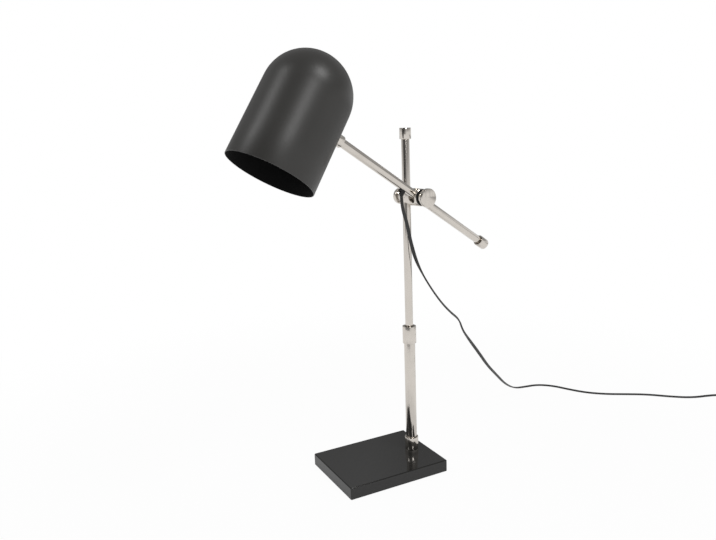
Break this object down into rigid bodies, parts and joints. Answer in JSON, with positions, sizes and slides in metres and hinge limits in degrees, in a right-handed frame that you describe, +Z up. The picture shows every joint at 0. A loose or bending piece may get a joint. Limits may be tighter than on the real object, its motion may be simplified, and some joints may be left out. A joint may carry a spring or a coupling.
{
  "type": "desk lamp",
  "caption": "Desk lamp with a domed metal shade on a sliding, tilting arm, a telescopic post, a cross clamp with two knobs and a rectangular stone base.",
  "frame": {"origin": "on the desk, under the middle of the rectangular base", "axes": "+Z up; +X along the base's long side towards the post; +Y to the back of the lamp as pictured"},
  "size_m": [1.09, 0.2979, 0.6174],
  "materials": {
    "polished_stone": "polished",
    "felt": "matte",
    "plated_steel": "satin",
    "nickel": "polished",
    "black_nylon": "matte",
    "fibre": "matte",
    "black_rubber": "matte",
    "cord_sheath": "satin",
    "satin_black_paint": "satin",
    "black_moulding": "satin",
    "black_moulding_gloss": "gloss",
    "brass": "satin",
    "pale_insulator": "matte"
  },
  "bodies": {
    "base": {"base_slab": "polished_stone", "felt_pad": "felt", "base_washer": "plated_steel", "base_nut": "plated_steel", "tie_rod": "plated_steel", "tube_plug": "plated_steel", "foot_collar": "nickel", "foot_set_screw": "plated_steel", "lower_tube": "nickel", "post_collet": "black_nylon", "supply_cord": "cord_sheath", "cord_coil": "cord_sheath", "switch_base": "black_moulding", "switch_cover": "black_moulding", "switch_screws": "plated_steel", "plug_body": "black_rubber", "plug_blades": "brass"},
    "height_collar": {"height_collar": "nickel"},
    "upper_post": {"upper_tube": "nickel", "upper_guide": "black_nylon", "top_cap": "nickel"},
    "clamp_slider": {"clamp_liner": "black_nylon"},
    "clamp": {"clamp_body": "nickel", "tilt_washer": "fibre"},
    "rear_knob": {"rear_knob": "nickel"},
    "barrel": {"arm_barrel": "nickel"},
    "front_knob": {"front_knob": "nickel"},
    "arm": {"arm_tube": "nickel", "arm_end_cap": "nickel", "shade_ferrule": "nickel", "shade_nipple": "plated_steel", "nipple_washer": "plated_steel", "nipple_nut": "plated_steel", "cord_grommet": "black_rubber", "arm_lead": "cord_sheath"},
    "shade": {"shade_shell": "satin_black_paint", "holder_bracket": "plated_steel", "holder_nipple": "plated_steel", "holder_nut": "plated_steel", "holder_cap": "black_moulding", "holder_sleeve": "black_moulding", "screw_shell": "brass", "contact_carrier": "pale_insulator", "centre_contact": "brass", "holder_lead": "cord_sheath"},
    "rocker": {"switch_rocker": "black_moulding_gloss"}
  },
  "joints": [
    {"name": "height_lock_twist", "type": "hinge", "parent": "base", "child": "height_collar", "pos_m": [0.059, 0, 0.2065], "axis": [0, 0, 1], "range_deg": [0, 90]},
    {"name": "post_height", "type": "slide", "parent": "base", "child": "upper_post", "axis": [0, 0, 1], "range_m": [-0.055, 0.08], "deforming": ["supply_cord"]},
    {"name": "clamp_height", "type": "slide", "parent": "upper_post", "child": "clamp_slider", "axis": [0, 0, 1], "range_m": [-0.125, 0.065], "deforming": ["supply_cord"]},
    {"name": "clamp_swivel", "type": "hinge", "parent": "clamp_slider", "child": "clamp", "pos_m": [0.059, 0, 0.418], "axis": [0, 0, 1], "range_deg": [-170, 170], "deforming": ["supply_cord"]},
    {"name": "rear_knob_turn", "type": "hinge", "parent": "clamp", "child": "rear_knob", "pos_m": [0.05686, 0.01485, 0.418], "axis": [0.1426, -0.9898, 0], "range_deg": [-360, 360]},
    {"name": "arm_tilt", "type": "hinge", "parent": "clamp", "child": "barrel", "pos_m": [0.06271, -0.02573, 0.418], "axis": [-0.1426, 0.9898, 0], "range_deg": [-32.3, 32.7], "deforming": ["supply_cord"]},
    {"name": "front_knob_turn", "type": "hinge", "parent": "barrel", "child": "front_knob", "pos_m": [0.06499, -0.04157, 0.418], "axis": [0.1426, -0.9898, 0], "range_deg": [-360, 360]},
    {"name": "arm_slide", "type": "slide", "parent": "barrel", "child": "arm", "axis": [0.8366, 0.1206, -0.5344], "range_m": [-0.13, 0.01], "deforming": ["supply_cord"]},
    {"name": "shade_turn", "type": "hinge", "parent": "arm", "child": "shade", "pos_m": [-0.07952, -0.04623, 0.50884], "axis": [0.8366, 0.1206, -0.5344], "range_deg": [-150, 150]},
    {"name": "switch_press", "type": "hinge", "parent": "base", "child": "rocker", "pos_m": [0.712, -0.116, 0.0125], "axis": [0.5446, 0.8387, 0], "range_deg": [-16, 0]}
  ]
}
